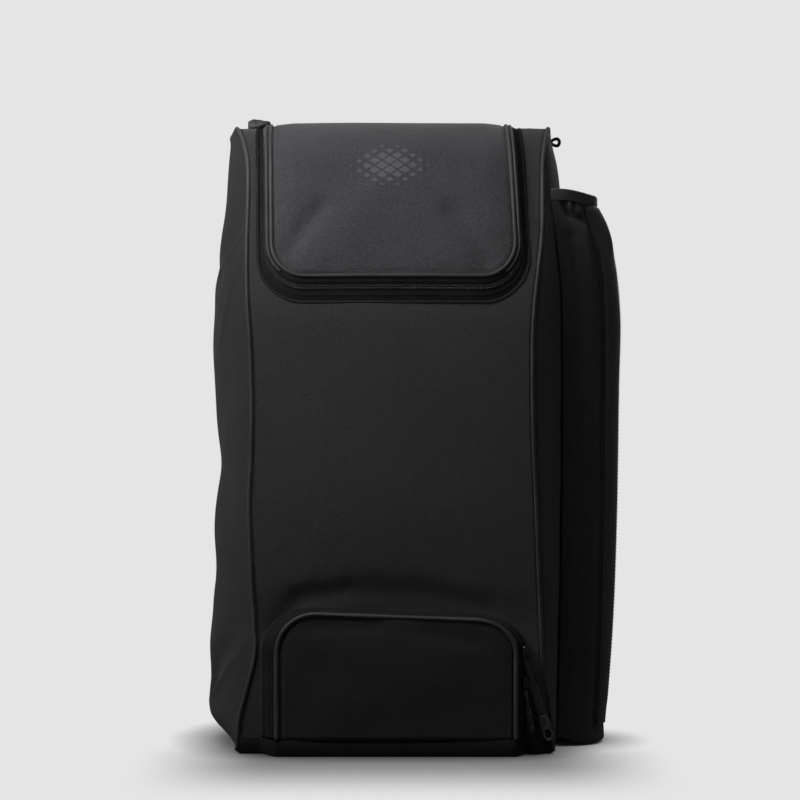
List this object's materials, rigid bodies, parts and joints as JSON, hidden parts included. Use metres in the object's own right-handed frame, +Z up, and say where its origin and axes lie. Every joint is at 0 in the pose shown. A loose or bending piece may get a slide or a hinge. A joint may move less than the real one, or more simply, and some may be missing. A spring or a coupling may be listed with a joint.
{
  "type": "cricket kit bag",
  "caption": "Upright black kit bag with a padded zipped lid, an arched front pocket, a bat sleeve on the right side and straps to wear it on the back.",
  "frame": {"origin": "middle of the flat underside of the base, on the floor", "axes": "+Z up, -Y out of the front panel, +X towards the bat sleeve"},
  "size_m": [0.4714, 0.3778, 0.7151],
  "materials": {
    "cloth": "matte woven polyester",
    "lid_cloth": "matte woven polyester, padded",
    "piping": "smooth bound cord",
    "zip": "zip tape with moulded coil",
    "webbing": "ribbed webbing",
    "metal": "black enamel",
    "rubber": "moulded"
  },
  "bodies": {
    "root": {"front_panel": "cloth", "left_side_panel": "cloth", "right_side_panel": "cloth", "back_panel": "cloth", "base_panel": "cloth", "left_piping": "piping", "right_piping": "piping", "lid_panel": "lid_cloth", "lid_piping": "piping", "lid_zip": "zip", "lid_slider": "metal", "lid_pull": "metal", "zip_end": "zip", "corner_loop": "webbing", "pocket_panel": "cloth", "pocket_piping": "piping", "pocket_zip": "zip", "pocket_slider_upper": "metal", "pocket_slider_lower": "metal", "pocket_pull_long": "webbing", "pocket_pull_end": "rubber", "pocket_pull_short": "metal", "sleeve_panel": "cloth", "sleeve_binding": "webbing", "sleeve_webbing": "webbing", "sleeve_base": "cloth", "shoulder_strap_left": "webbing", "shoulder_strap_right": "webbing", "grab_handle": "webbing"}
  },
  "joints": []
}
